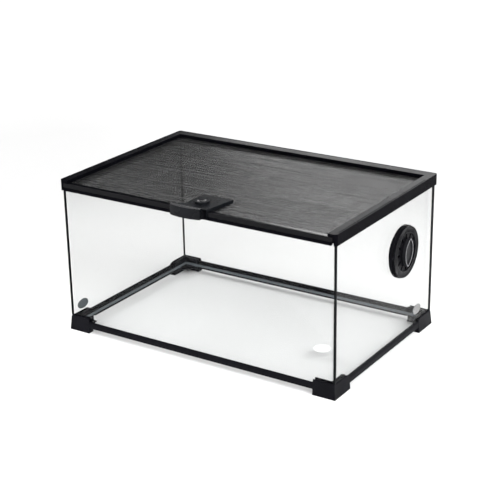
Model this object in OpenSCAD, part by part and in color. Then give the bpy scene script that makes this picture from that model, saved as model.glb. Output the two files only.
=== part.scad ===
// Small glass terrarium for reptiles, with a sliding screen lid that locks and a round
// vent in its right wall that turns open and shut.
// Every size is in millimetres. +X is to the right, +Y to the back and +Z up.

/* [Tank] */
// Width over the top frame
tank_w = 310; // [240:1:500]
// Depth over the top frame
tank_d = 202; // [160:1:400]
// Height from the feet to the tops of the rails
tank_h = 160; // [120:1:400]
// Thickness of every pane of glass
glass_t = 3; // [2.5:0.1:5]
// How far the silicone bead of a corner stands out from the side pane
seam_out_x = 1.2; // [0.6:0.1:2]
// How far it stands out from the front or back pane
seam_out_y = 0.6; // [0.4:0.1:1.5]
// How far it laps onto the front or back pane
seam_lap = 0.4; // [0.2:0.1:2]
// How far a front bead runs back along the side of the glass
seam_run_front = 2; // [1:0.1:4]
// How far a back bead runs forward along the side of the glass
seam_run_back = 1; // [0.6:0.1:4]

/* [Top frame] */
// Width of a side rail's flat top
rail_w = 9; // [8:0.1:14]
// Width of the back rail's flat top
back_rail_w = 12; // [10:0.1:18]
// Plastic outside the glass
rail_wall = 2.9; // [2.5:0.1:3.8]
// Plastic outside the lid's groove
groove_wall = 4; // [3.5:0.1:5]
// Thickness of the lip over the lid
lip_t = 2.9; // [2:0.1:5]
// How far the rail reaches down over the glass
glass_seat = 2.4; // [2:0.1:6]
// Plastic between the top of the glass and the lid's groove
web_t = 0.9; // [0.8:0.1:2]
// Thickness of the skirt inside the glass
skirt_t = 1.4; // [1:0.1:2.5]
// Clearance on each side of the glass in its seat
seat_gap = 0.1; // [0.05:0.01:0.2]
// Width of the bead along the rail's outer top edge
bead_w = 1; // [0.8:0.1:1.6]
// Width of the groove beside the bead
bead_groove_w = 0.9; // [0.5:0.1:1.2]
// Depth of the groove beside the bead
bead_groove_d = 0.7; // [0.4:0.1:1.2]
// Length of a back corner piece along each rail
corner_arm = 25; // [18:1:35]
// Rounding of the top frame's outer corners
corner_r = 3; // [1:0.5:3.5]
// Length of the cap on the front end of a side rail
end_cap_len = 6; // [4.5:0.5:10]

/* [Base] */
// Height of a foot
foot_h = 15.3; // [14:0.1:22]
// Length of a foot along the tank's width
foot_arm_x = 24; // [18:0.5:40]
// Length of a foot along the tank's depth
foot_arm_y = 29; // [18:0.5:40]
// How far a foot stands out from the glass at the bottom
foot_out = 2.4; // [2.2:0.1:3]
// How far a foot's outer faces lean in towards the top
foot_lean = 1.3; // [0.4:0.1:1.5]
// Drop of the bevel at the end of a foot's longer arm
foot_bevel_drop = 2.2; // [1:0.1:3]
// Length of the bevel at the end of a foot's longer arm
foot_bevel_len = 5; // [2:0.1:8]
// Height of the base trim above the table
trim_up = 5.5; // [4:0.1:7]
// Height of the base trim
trim_h = 6.8; // [5.5:0.1:8.4]
// Thickness of the trim's outer leg
trim_t = 1.45; // [1.2:0.05:2]
// Height of the bevel along the trim's outer top edge
trim_bevel_h = 2.5; // [1:0.1:3]
// Width of the bevel along the trim's outer top edge
trim_bevel_w = 1; // [0.4:0.1:1.1]
// Thickness of the trim's floor under the glass
trim_floor_t = 0.7; // [0.6:0.1:1.2]
// Thickness of the leg between the walls and the bottom pane
inner_leg_t = 1.5; // [1:0.1:2.5]
// Width of the ledge under the bottom pane
ledge_w = 2; // [2:0.1:6]
// Clearance round the glass in the base
base_gap = 0.05; // [0.05:0.01:0.15]

/* [Lid] */
// Thickness of the lid's frame
lid_t = 4.4; // [4.2:0.1:6]
// Sliding clearance of the lid in its groove
lid_gap = 0.2; // [0.1:0.05:0.4]
// Clearance between the lid and the front sill
sill_gap = 0.3; // [0.2:0.05:0.4]
// Width of a side bar
lid_bar_w = 7.1; // [6.5:0.1:12]
// Width of the back bar
lid_back_bar_w = 9.4; // [8:0.1:14]
// Width of the front bar
lid_front_bar_w = 5; // [4.4:0.1:5.4]
// Thickness of the bars over the mesh
lid_flange_t = 0.7; // [0.5:0.05:1]
// Width of the rebate that holds the mesh
rebate_w = 2.4; // [1.8:0.1:2.6]
// Thickness of the woven mesh
mesh_t = 0.5; // [0.4:0.05:0.6]
// How far the strips under the mesh stay above the bars' bottoms
strip_lift = 0.5; // [0.2:0.1:1]
// Openings across the plain grid that stands for the fine weave
grid_across = 12; // [4:1:12]
// Openings from front to back in the plain grid
grid_deep = 8; // [3:1:10]
// Width of the bars of the plain grid
grid_bar_w = 3; // [1.5:0.5:6]

/* [Latch] */
// Left edge of the latch plate, from the tank's middle
plate_left = -8; // [-14:0.5:-7.5]
// Right edge of the latch plate at its back, from the tank's middle
plate_right = 25.5; // [25.5:0.5:40]
// Right edge of the latch plate at its front, from the tank's middle
plate_front_right = 20.5; // [20:0.5:25]
// Depth of the latch plate from the tank's front
plate_depth = 35.5; // [35:0.5:45]
// Thickness of the latch plate above the lid
plate_t = 2.6; // [2:0.1:4]
// Radius of the curve where the plate widens to the grip
plate_flare_r = 8; // [4:0.5:10]
// Distance of the lock from the tank's middle
lock_x = 4.5; // [3:0.5:6]
// Distance of the lock from the tank's front
lock_setback = 14.5; // [14.2:0.1:16]
// Radius of the boss round the lock
boss_r = 7.3; // [6:0.1:8]
// Height of the boss above the plate
boss_h = 2; // [1.4:0.1:3]
// Radius of the lock barrel's head
barrel_head_r = 4.1; // [3.6:0.1:5]
// Thickness of the lock barrel's head
barrel_head_t = 1.2; // [0.8:0.1:1.3]
// Radius of the lock barrel's shaft
barrel_r = 3; // [2.4:0.1:3.2]
// Running clearance round the lock barrel
barrel_gap = 0.05; // [0.03:0.01:0.08]
// Left end of the grip, from the tank's middle
grip_left = -19.5; // [-35:0.5:-19]
// Right end of the grip, from the tank's middle
grip_right = 14; // [10:0.5:16]
// How far the grip's ends stand out in front
grip_end_out = 3.6; // [3:0.1:5]
// How far the grip's middle stands out in front
grip_mid_out = 6; // [5.5:0.1:9]
// Thickness of the grip's front wall
grip_wall = 2.2; // [1.6:0.1:2.5]
// How far the front apron stands out beside the grip
apron_out = 1.2; // [0.8:0.1:2]
// Length of the lock cam from its axis
cam_len = 16; // [15:0.1:16.5]
// Width of the lock cam
cam_w = 6; // [5:0.1:6.4]
// Thickness of the lock cam
cam_t = 1.4; // [1:0.1:1.4]
// Play between the turned cam and its striker
cam_play = 0.4; // [0.2:0.1:0.8]
// Width of the striker
striker_w = 7; // [4:0.1:7.5]

/* [Vent] */
// Distance of the vent's centre from the tank's back
vent_from_back = 71; // [60:1:100]
// Distance of the vent's centre below the rails' tops
vent_below_top = 58.4; // [50:1:80]
// Radius of the vent's flange
flange_r = 26; // [25.6:0.05:32]
// Thickness of the vent's flange
flange_t = 3.3; // [3:0.1:5]
// Thickness of the adhesive gasket under the flange
gasket_t = 0.5; // [0.4:0.1:1]
// Radius of the hole in the glass
glass_hole_r = 20.2; // [20.1:0.1:21]
// Outer radius of the spigot in the glass
spigot_r = 20; // [19.6:0.1:20]
// Bore of the spigot
spigot_bore_r = 18.4; // [17.5:0.1:18.6]
// Radius of the pocket in the flange that the shutter turns in
pocket_r = 19.6; // [19.4:0.1:20]
// Radius of the vent's face
face_r = 25.3; // [25:0.1:32]
// Thickness of the vent's face
face_t = 2; // [1.4:0.1:3]
// Gap between the face's rim and the flange
face_gap = 0.4; // [0.3:0.1:0.8]
// Radius of the dish in the face
dish_r = 19.2; // [18.8:0.1:20]
// Depth of the dish in the face
dish_d = 0.8; // [0.4:0.1:1]
// Number of slots in the face and in the shutter behind it
slot_count = 12; // [8:1:14]
// Width of a slot
slot_w = 2.8; // [2:0.1:3]
// Inner radius of the ring of slots
slot_in_r = 12.6; // [12:0.1:14]
// Outer radius of the ring of slots
slot_out_r = 18.4; // [17:0.1:18.5]
// Thickness of the shutter
shutter_t = 1.8; // [1.2:0.1:2]
// Clearance round the shutter and behind the face
shutter_gap = 0.3; // [0.2:0.05:0.4]
// Radius of the vent's axle
axle_r = 2.95; // [2.5:0.05:4]
// Running clearance round the axle
axle_gap = 0.05; // [0.03:0.01:0.08]
// Height of the leaf-shaped knob
knob_h = 28.5; // [22:0.5:34]
// Width of the leaf-shaped knob
knob_w = 16; // [12:0.5:18]
// How far the knob stands out from the dish
knob_out = 3.6; // [2.5:0.1:6]
// Lean of the knob from upright when the vent is open
knob_lean = 10; // [0:1:20]

/* [Badges] */
// Length of an oval badge
badge_w = 16.2; // [12:0.1:22]
// Height of an oval badge
badge_h = 10.2; // [8:0.1:12]
// Thickness of an oval badge
badge_t = 1; // [0.5:0.1:1.5]
// Distance of the left badge from the tank's front
left_badge_from_front = 20; // [16:0.5:60]
// Distance of the right badge from the tank's back
right_badge_from_back = 33.5; // [16:0.5:40]
// Height of the left badge's middle above the tops of the feet
left_badge_gap = 6.2; // [6.2:0.1:20]
// Height of the right badge's middle above the tops of the feet
right_badge_gap = 12.2; // [6.2:0.1:20]
// Diameter of the round label on the bottom pane
disc_d = 16.5; // [10:0.5:24]
// Thickness of the round label
disc_t = 0.4; // [0.2:0.1:0.6]
// Distance of the round label from the tank's right side
disc_from_right = 56; // [40:1:80]
// Distance of the round label from the tank's front
disc_from_front = 74; // [40:1:78]

/* [Hidden] */
$fn = 64;

// Reach of a cutting solid past the face that it opens
over = 1;
// Top frame, from its outer faces inwards
half_w = tank_w / 2;
half_d = tank_d / 2;
groove_h = lid_t + 2 * lid_gap;
rail_h = glass_seat + web_t + groove_h + lip_t;
rail_z0 = tank_h - rail_h;
seat_z = rail_z0 + glass_seat;
groove_z0 = seat_z + web_t;
lip_z0 = groove_z0 + groove_h;
lip_x = half_w - rail_w;
lip_y = half_d - back_rail_w;
groove_x = half_w - groove_wall;
groove_y = half_d - groove_wall;
slot_x = half_w - rail_wall;
slot_y = half_d - rail_wall;
glass_x = slot_x - seat_gap;
glass_y = slot_y - seat_gap;
inner_x = glass_x - glass_t;
inner_y = glass_y - glass_t;
skirt_x = inner_x - seat_gap;
skirt_y = inner_y - seat_gap;
glass_top = seat_z - seat_gap;
// Base, from the glass outwards
foot_x = glass_x + foot_out;
foot_y = glass_y + foot_out;
trim_z1 = trim_up + trim_h;
seat_floor = trim_up + trim_floor_t;
bottom_z1 = seat_floor + glass_t;
leg_x = inner_x - base_gap - inner_leg_t;
leg_y = inner_y - base_gap - inner_leg_t;
corner_ledge = 12;
corner_ledge_t = 1.5;
foot_edge = 0.8;
// Lid, closed
lid_x = groove_x - lid_gap;
lid_y0 = -half_d;
lid_y1 = groove_y - lid_gap;
lid_z0 = groove_z0 + lid_gap;
lid_z1 = lid_z0 + lid_t;
flange_z0 = lid_z1 - lid_flange_t;
mesh_z0 = flange_z0 - mesh_t;
bar_in_x = lid_x - lid_bar_w;
bar_in_y0 = lid_y0 + lid_front_bar_w;
bar_in_y1 = lid_y1 - lid_back_bar_w;
mesh_x = bar_in_x + rebate_w;
mesh_y0 = bar_in_y0 - rebate_w;
mesh_y1 = bar_in_y1 + rebate_w;
opening_x = (2 * bar_in_x - (grid_across - 1) * grid_bar_w) / grid_across;
opening_y = (bar_in_y1 - bar_in_y0 - (grid_deep - 1) * grid_bar_w) / grid_deep;
strip_gap = 0.2;
strip_w = rebate_w - strip_gap;
sill_z1 = lid_z0 - sill_gap;
sill_end_gap = 1.4;
sill_in_y = skirt_y - skirt_t;
// Latch and lock
lock_y = lid_y0 + lock_setback;
plate_y1 = lid_y0 + plate_depth;
plate_z1 = lid_z1 + plate_t;
boss_z1 = plate_z1 + boss_h;
plate_lip = 2;
backing_t = 0.8;
backing_inset = 1.5;
backing_z0 = mesh_z0 - backing_t;
backing_x0 = plate_left + backing_inset;
backing_x1 = plate_right - backing_inset;
backing_y0 = bar_in_y0 + backing_inset;
backing_y1 = plate_y1 - backing_inset;
cam_clear = 0.3;
cam_z1 = backing_z0 - cam_clear;
cam_z0 = cam_z1 - cam_t;
cam_hub_r = 5;
hole_gap = 0.8;
cam_screw_head_r = 2.4;
cam_screw_head_t = 0.6;
cam_screw_r = 1.2;
cam_screw_len = 5;
screw_r = 1.1;
screw_len = 3.4;
screw_head_r = 1.6;
screw_head_t = 1.2;
screw_inset = 3.5;
screw_left_x = plate_left + screw_inset;
screw_right_x = plate_right - screw_inset;
screw_back_y = plate_y1 - screw_inset;
screw_front_y = backing_y0 + screw_inset;
SCREWS = [[screw_left_x, screw_back_y], [screw_right_x, screw_back_y], [screw_left_x, screw_front_y]];
key_slot_w = 1;
key_slot_len = 4.4;
key_slot_d = 0.9;
striker_end_gap = 0.5;
striker_front_gap = 0.6;
striker_x1 = lock_x + cam_len - striker_end_gap;
striker_x0 = striker_x1 - striker_w;
striker_y0 = bar_in_y0 + striker_front_gap;
striker_y1 = lock_y - cam_w / 2 - cam_play;
striker_leg_t = 1.6;
apron_lift = 0.5;
apron_z0 = rail_z0 + apron_lift;
apron_gap = 0.3;
grip_z0 = rail_z0;
grip_x = (grip_left + grip_right) / 2;
grip_half = (grip_right - grip_left) / 2;
grip_bow = grip_mid_out - grip_end_out;
grip_bow_r = (grip_half * grip_half + grip_bow * grip_bow) / (2 * grip_bow);
// Vent, from the glass outwards
vent_y = half_d - vent_from_back;
vent_z = tank_h - vent_below_top;
flange_x0 = glass_x + gasket_t;
flange_x1 = flange_x0 + flange_t;
face_x0 = flange_x1 + face_gap;
face_x1 = face_x0 + face_t;
face_neck_r = 24.5;
dish_x = face_x1 - dish_d;
shutter_x1 = flange_x1 - shutter_gap;
shutter_x0 = shutter_x1 - shutter_t;
knob_gap = 0.2;
knob_x0 = dish_x + knob_gap;
knob_x1 = dish_x + knob_out + knob_gap;
knob_rim = 1.4;
knob_dish_d = 1.2;
knob_arc_r = (knob_h * knob_h + knob_w * knob_w) / (4 * knob_w);
vent_screw_r = 1.2;
vent_screw_head_r = 3.2;
vent_screw_head_t = 1.5;
vent_screw_len = 4;
screen_t = 0.4;
screen_ledge_t = 0.6;
screen_ledge_w = 1;
screen_ledge_r = spigot_bore_r - screen_ledge_w;
screen_x0 = inner_x + screen_ledge_t;
gasket_inset = 0.75;
// Row frame: the middle of the whole object's box is over the origin
shift_x = (half_w - knob_x1) / 2;
shift_y = grip_mid_out / 2;

black = "#1b1c1e";
satin_black = "#2c2d30";

module place() translate([shift_x, shift_y, 0]) children();
module block(lo, hi) translate(lo) cube(hi - lo);
module on_side(side) mirror([side < 0 ? 1 : 0, 0, 0]) children();
module on_end(end) mirror([0, end < 0 ? 1 : 0, 0]) children();
module rod_x(x0, x1, r) translate([x0, 0, 0]) rotate([0, 90, 0]) cylinder(r = r, h = x1 - x0);
module rod_z(z0, z1, r) translate([0, 0, z0]) cylinder(r = r, h = z1 - z0);
module at_vent() translate([0, vent_y, vent_z]) children();
module at_lock() translate([lock_x, lock_y, 0]) children();

// ---- Glass ----
module glass(lo, hi) color("#dfeaea", 0.35) block(lo, hi);
module glass_bottom() {
    reach = [leg_x - base_gap, leg_y - base_gap];
    glass([-reach.x, -reach.y, seat_floor], [reach.x, reach.y, bottom_z1]);
}
module glass_front() glass([-glass_x, -glass_y, seat_floor], [glass_x, -inner_y, glass_top]);
module glass_back() glass([-glass_x, inner_y, seat_floor], [glass_x, glass_y, glass_top]);
module glass_left() glass([-glass_x, -inner_y, seat_floor], [-inner_x, inner_y, glass_top]);
module glass_right() color("#dfeaea", 0.35) difference() {
    block([inner_x, -inner_y, seat_floor], [glass_x, inner_y, glass_top]);
    at_vent() rod_x(inner_x - over, glass_x + over, glass_hole_r);
}
// Bead of silicone round an outer corner of the glass, from the foot up to the top frame
module seam(side, end, run) color(black) on_side(side) on_end(end) difference() {
    block(
        [glass_x - seam_lap, glass_y - run, foot_h + base_gap],
        [glass_x + seam_out_x, glass_y + seam_out_y, rail_z0 - seat_gap]
    );
    block([0, 0, 0], [glass_x, glass_y, tank_h]);
}

// ---- Base ----
// Section of the trim: x counts outwards from the outer face of the glass
module trim_section() {
    outer = base_gap + trim_t;
    inner = -glass_t - base_gap;
    leg = inner - inner_leg_t;
    polygon([
        [leg - ledge_w, trim_up],
        [outer, trim_up],
        [outer, trim_z1 - trim_bevel_h],
        [outer - trim_bevel_w, trim_z1],
        [base_gap, trim_z1],
        [base_gap, seat_floor],
        [inner, seat_floor],
        [inner, bottom_z1],
        [leg, bottom_z1],
        [leg, seat_floor],
        [leg - ledge_w, seat_floor]
    ]);
}
module trim_run(face, length) color(black) translate([face, 0, 0])
    rotate([90, 0, 0]) linear_extrude(height = length, center = true) trim_section();
module base_trim_side(side) on_side(side) trim_run(glass_x, 2 * (foot_y - foot_arm_y));
module base_trim_long(end) on_end(end) rotate([0, 0, 90]) trim_run(glass_y, 2 * (foot_x - foot_arm_x));

// Section of a foot: its outer face at x = reach leans in towards the top
module foot_section(reach) polygon([
    [0, 0],
    [reach, 0],
    [reach - foot_lean, foot_h - foot_edge],
    [reach - foot_lean - foot_edge, foot_h],
    [0, foot_h]
]);
module foot_bevel() {
    arm_end = foot_y - foot_arm_y;
    translate([half_w, 0, 0]) rotate([90, 0, -90]) linear_extrude(height = half_w) polygon([
        [-arm_end + over, foot_h + over],
        [-arm_end + over, foot_h - foot_bevel_drop],
        [-arm_end, foot_h - foot_bevel_drop],
        [-arm_end - foot_bevel_len, foot_h],
        [-arm_end - foot_bevel_len, foot_h + over]
    ]);
}
module foot(side, end) color(satin_black) on_side(side) on_end(end) {
    difference() {
        intersection() {
            rotate([90, 0, 0]) linear_extrude(height = tank_d, center = true) foot_section(foot_x);
            rotate([90, 0, 90]) linear_extrude(height = tank_w, center = true) foot_section(foot_y);
            block([foot_x - foot_arm_x, foot_y - foot_arm_y, 0], [foot_x, foot_y, foot_h]);
        }
        block([0, 0, -over], [leg_x, leg_y, foot_h + over]);
        difference() {
            block([0, 0, seat_floor], [glass_x + base_gap, glass_y + base_gap, foot_h + over]);
            block([0, 0, 0], [inner_x - base_gap, inner_y - base_gap, foot_h + 2 * over]);
        }
        foot_bevel();
    }
    block(
        [leg_x - corner_ledge, leg_y - corner_ledge, seat_floor - corner_ledge_t],
        [leg_x, leg_y, seat_floor]
    );
}

// ---- Top frame ----
// The whole frame as one ring, open at the front, from which each rail and corner is cut
module frame_ring() {
    front = -half_d - over;
    difference() {
        block([-half_w, -half_d, rail_z0], [half_w, half_d, tank_h]);
        block([-lip_x, front, groove_z0], [lip_x, lip_y, tank_h + over]);
        block([-groove_x, front, groove_z0], [groove_x, groove_y, lip_z0]);
        block(
            [-skirt_x + skirt_t, front, rail_z0 - over],
            [skirt_x - skirt_t, sill_in_y, groove_z0 + over / 2]
        );
        difference() {
            block([-slot_x, -slot_y, rail_z0 - over], [slot_x, slot_y, seat_z]);
            block([-skirt_x, -skirt_y, rail_z0 - 2 * over], [skirt_x, skirt_y, seat_z + over]);
        }
    }
}
// Groove beside the bead, along a face at the given distance from the middle
module bead_groove(face, length)
    translate([face - bead_w - bead_groove_w, -length / 2, tank_h - bead_groove_d])
    cube([bead_groove_w, length, bead_groove_d + over]);
// What a round corner of radius r leaves of a square one, at the frame's back right
module corner_waste(r) translate([half_w - r, half_d - r, rail_z0 - over]) difference() {
    cube([r + over, r + over, rail_h + 2 * over]);
    rod_z(-over, rail_h + 3 * over, r);
}
module top_rail_side(side) color(black) on_side(side) difference() {
    intersection() {
        frame_ring();
        block([0, -half_d + end_cap_len, rail_z0], [half_w, half_d - corner_arm, tank_h]);
    }
    bead_groove(half_w, tank_d);
}
module top_rail_back() color(black) difference() {
    intersection() {
        frame_ring();
        block([-half_w + corner_arm, 0, rail_z0], [half_w - corner_arm, half_d, tank_h]);
    }
    rotate([0, 0, 90]) bead_groove(half_d, tank_w);
}
module top_corner(side) color(satin_black) on_side(side) difference() {
    intersection() {
        frame_ring();
        block([half_w - corner_arm, half_d - corner_arm, rail_z0], [half_w, half_d, tank_h]);
    }
    corner_waste(corner_r);
}
module end_cap(side) color(satin_black) on_side(side) difference() {
    intersection() {
        frame_ring();
        block([0, -half_d, rail_z0], [half_w, -half_d + end_cap_len, tank_h]);
    }
    block([0, -half_d - over, rail_z0 - over], [slot_x, 0, groove_z0]);
    mirror([0, 1, 0]) corner_waste(corner_r);
}
module front_sill() color(black) {
    end_x = groove_x - sill_end_gap;
    rail_front = -half_d + end_cap_len - seat_gap;
    difference() {
        union() {
            block([-end_x, -half_d, rail_z0], [end_x, rail_front, sill_z1]);
            block(
                [-skirt_x + skirt_t + seat_gap, rail_front, rail_z0],
                [skirt_x - skirt_t - seat_gap, -sill_in_y, sill_z1]
            );
        }
        block([-half_w, -slot_y, rail_z0 - over], [half_w, -skirt_y, seat_z]);
    }
}
module lock_striker() color(satin_black) {
    block([striker_x0, striker_y0, sill_z1], [striker_x1, striker_y1, cam_z1]);
    block([striker_x0, -sill_in_y, rail_z0], [striker_x1, -sill_in_y + striker_leg_t, sill_z1]);
}

// ---- Lid ----
module lid_bar_side(side) color(black) on_side(side) difference() {
    block([bar_in_x, bar_in_y0, lid_z0], [lid_x, bar_in_y1, lid_z1]);
    block([bar_in_x - over, bar_in_y0 - over, lid_z0 - over], [mesh_x, bar_in_y1 + over, flange_z0]);
}
module lid_bar_front() color(black) difference() {
    block([-lid_x, lid_y0, lid_z0], [lid_x, bar_in_y0, lid_z1]);
    block([-mesh_x, mesh_y0, lid_z0 - over], [mesh_x, bar_in_y0 + over, flange_z0]);
}
module lid_bar_back() color(black) difference() {
    block([-lid_x, bar_in_y1, lid_z0], [lid_x, lid_y1, lid_z1]);
    block([-mesh_x, bar_in_y1 - over, lid_z0 - over], [mesh_x, mesh_y1, flange_z0]);
}
// Openings of the plain grid, which stays whole under the latch
module mesh_openings() difference() {
    for (x = [-bar_in_x:opening_x + grid_bar_w:bar_in_x], y = [bar_in_y0:opening_y + grid_bar_w:bar_in_y1])
        translate([x, y, mesh_z0 - over]) cube([opening_x, opening_y, mesh_t + 2 * over]);
    block(
        [backing_x0 - grid_bar_w, mesh_y0, mesh_z0 - 2 * over],
        [plate_right + grid_bar_w, plate_y1 + grid_bar_w, lid_z1 + over]
    );
}
module lid_mesh() color("#3c3f42", 0.6) difference() {
    block([-mesh_x, mesh_y0, mesh_z0], [mesh_x, mesh_y1, flange_z0]);
    mesh_openings();
    at_lock() rod_z(mesh_z0 - over, flange_z0 + over, barrel_r + hole_gap);
    for (at = SCREWS) translate(at) rod_z(mesh_z0 - over, flange_z0 + over, screw_r);
}
module mesh_strip_side(side) color(satin_black) on_side(side)
    block([mesh_x - strip_w, mesh_y0 + strip_w, lid_z0 + strip_lift], [mesh_x, mesh_y1 - strip_w, mesh_z0]);
module mesh_strip_front() color(satin_black)
    block([-mesh_x, mesh_y0, lid_z0 + strip_lift], [mesh_x, mesh_y0 + strip_w, mesh_z0]);
module mesh_strip_back() color(satin_black)
    block([-mesh_x, mesh_y1 - strip_w, lid_z0 + strip_lift], [mesh_x, mesh_y1, mesh_z0]);

// ---- Latch ----
// Outline of the plate from above, widened by a curve towards the grip's left end
module plate_outline() {
    flare_x = plate_left - plate_flare_r;
    flare_y = lid_y0 + plate_lip + plate_flare_r;
    polygon(concat(
        [[plate_front_right, lid_y0], [plate_right, plate_y1], [plate_left, plate_y1]],
        [for (a = [0:10:90]) [flare_x + plate_flare_r * cos(a), flare_y - plate_flare_r * sin(a)]],
        [[grip_left, lid_y0 + plate_lip], [grip_left, lid_y0]]
    ));
}
module latch_plate() color(satin_black) difference() {
    union() {
        translate([0, 0, lid_z1]) linear_extrude(height = plate_t) plate_outline();
        intersection() {
            translate([0, 0, flange_z0]) linear_extrude(height = lid_flange_t + plate_t) plate_outline();
            block([-half_w, bar_in_y0, flange_z0], [half_w, plate_y1, plate_z1]);
        }
        at_lock() rod_z(lid_z1, boss_z1, boss_r);
        block([grip_right, lid_y0 - apron_out, apron_z0], [plate_front_right, lid_y0, plate_z1]);
        block([grip_right, lid_y0 - apron_out, lid_z1], [plate_front_right, lid_y0 + over, plate_z1]);
    }
    block(
        [grip_right - over, lid_y0 - apron_gap, apron_z0 - over],
        [plate_front_right + over, lid_y0 + over, lid_z0]
    );
    at_lock() rod_z(flange_z0 - over, boss_z1 + over, barrel_r + barrel_gap);
    at_lock() rod_z(boss_z1 - barrel_head_t, boss_z1 + over, barrel_head_r + barrel_gap);
    for (at = SCREWS) translate(at) rod_z(flange_z0 - over, backing_z0 + screw_len, screw_r);
}
// Bow of the grip: a disc that leaves the given margin inside its outer face
module grip_bow(z0, z1, margin) translate([grip_x, lid_y0 - grip_mid_out + grip_bow_r, 0])
    rod_z(z0, z1, grip_bow_r - margin);
module latch_grip() color(satin_black) difference() {
    intersection() {
        block([grip_left, lid_y0 - grip_mid_out, grip_z0], [grip_right, lid_y0, plate_z1]);
        grip_bow(grip_z0 - over, plate_z1 + over, 0);
    }
    intersection() {
        block(
            [grip_left + grip_wall, lid_y0 - grip_mid_out, grip_z0 - over],
            [grip_right - grip_wall, lid_y0 + over, lid_z1]
        );
        grip_bow(grip_z0 - over, lid_z1, grip_wall);
    }
    block([grip_left - over, lid_y0 - apron_gap, grip_z0 - over], [grip_right + over, lid_y0 + over, lid_z0]);
}
module latch_backing() color("#8d9094") difference() {
    block([backing_x0, backing_y0, backing_z0], [backing_x1, backing_y1, mesh_z0]);
    at_lock() rod_z(backing_z0 - over, mesh_z0 + over, barrel_r + hole_gap);
    for (at = SCREWS) translate(at) rod_z(backing_z0 - over, mesh_z0 + over, screw_r);
}
module latch_screws() color("#b8babd") for (at = SCREWS) translate(at) {
    rod_z(backing_z0, backing_z0 + screw_len, screw_r);
    rod_z(backing_z0 - screw_head_t, backing_z0, screw_head_r);
}

// ---- Lock ----
module lock_barrel() color("#505256") at_lock() difference() {
    union() {
        rod_z(cam_z0, boss_z1 - barrel_head_t + barrel_gap, barrel_r);
        rod_z(boss_z1 - barrel_head_t + barrel_gap, boss_z1, barrel_head_r);
    }
    rod_z(cam_z0 - over, cam_z0 + cam_screw_len, cam_screw_r);
    block(
        [-key_slot_w / 2, -key_slot_len / 2, boss_z1 - key_slot_d],
        [key_slot_w / 2, key_slot_len / 2, boss_z1 + over]
    );
}
module lock_cam() color("#9a9ca0") at_lock() difference() {
    union() {
        rod_z(cam_z0, cam_z1, cam_hub_r);
        block([-cam_w / 2, 0, cam_z0], [cam_w / 2, cam_len - cam_w / 2, cam_z1]);
        translate([0, cam_len - cam_w / 2, 0]) rod_z(cam_z0, cam_z1, cam_w / 2);
    }
    rod_z(cam_z0 - over, cam_z1 + over, barrel_r);
}
module lock_cam_screw() color("#b8babd") at_lock() {
    rod_z(cam_z0, cam_z0 + cam_screw_len, cam_screw_r);
    rod_z(cam_z0 - cam_screw_head_t, cam_z0, cam_screw_head_r);
}

// ---- Vent ----
// Ring of slots about the X axis, shared by the face and the shutter
module slot_ring(x0, x1) for (i = [0:slot_count - 1]) rotate([i * 360 / slot_count, 0, 0])
    block([x0, slot_in_r, -slot_w / 2], [x1, slot_out_r, slot_w / 2]);
module vent_body() color(satin_black) at_vent() difference() {
    union() {
        rod_x(inner_x, flange_x0 + over, spigot_r);
        rod_x(flange_x0, flange_x1, flange_r);
    }
    rod_x(screen_x0, flange_x1 + over, spigot_bore_r);
    rod_x(inner_x - over, screen_x0 + over, screen_ledge_r);
    rod_x(shutter_x0 - shutter_gap, flange_x1 + over, pocket_r);
}
module vent_gasket() color(black) at_vent() difference() {
    rod_x(glass_x, flange_x0, flange_r - gasket_inset);
    rod_x(glass_x - over, flange_x0 + over, spigot_r);
}
module vent_face() color(satin_black) at_vent() difference() {
    union() {
        rod_x(flange_x1, face_x0 + face_t / 2, face_neck_r);
        rod_x(face_x0, face_x1, face_r);
    }
    rod_x(dish_x, face_x1 + over, dish_r);
    rod_x(flange_x1 - over, face_x1, axle_r + axle_gap);
    slot_ring(flange_x1 - over, face_x1 + over);
}
module vent_screen() color("#5a5d60") at_vent()
    rod_x(screen_x0, screen_x0 + screen_t, spigot_bore_r);
module vent_shutter() color(black) at_vent() difference() {
    rod_x(shutter_x0, shutter_x1, pocket_r - shutter_gap);
    rod_x(shutter_x0 - over, shutter_x1 + over, vent_screw_r);
    slot_ring(shutter_x0 - over, shutter_x1 + over);
}
// Leaf made by two crossing discs, less the given margin all round
module leaf(x0, x1, margin) intersection_for (s = [-1, 1])
    translate([0, s * (knob_arc_r - knob_w / 2), 0]) rod_x(x0, x1, knob_arc_r - margin);
module vent_knob() color("#6d6f73") at_vent() rotate([-knob_lean, 0, 0]) difference() {
    union() {
        leaf(knob_x0, knob_x1, 0);
        rod_x(shutter_x1, knob_x0 + over, axle_r);
    }
    leaf(knob_x1 - knob_dish_d, knob_x1 + over, knob_rim);
    rod_x(shutter_x1 - over, shutter_x0 + vent_screw_len, vent_screw_r);
}
module vent_screw() color("#b8babd") at_vent() {
    rod_x(shutter_x0 - vent_screw_head_t, shutter_x0, vent_screw_head_r);
    rod_x(shutter_x0, shutter_x0 + vent_screw_len, vent_screw_r);
}

// ---- Badges ----
module oval(length, height, thick) rotate([90, 0, 90]) linear_extrude(height = thick)
    polygon([for (a = [0:7.5:352.5]) [length / 2 * cos(a), height / 2 * sin(a)]]);
module badge_left() color("#4d5560")
    translate([-glass_x - badge_t, -half_d + left_badge_from_front, foot_h + left_badge_gap])
        oval(badge_w, badge_h, badge_t);
module badge_right() color("#c9cccf")
    translate([glass_x, half_d - right_badge_from_back, foot_h + right_badge_gap])
        oval(badge_w, badge_h, badge_t);
module floor_label() color("white") translate([half_w - disc_from_right, -half_d + disc_from_front, 0])
    rod_z(bottom_z1, bottom_z1 + disc_t, disc_d / 2);

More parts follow.
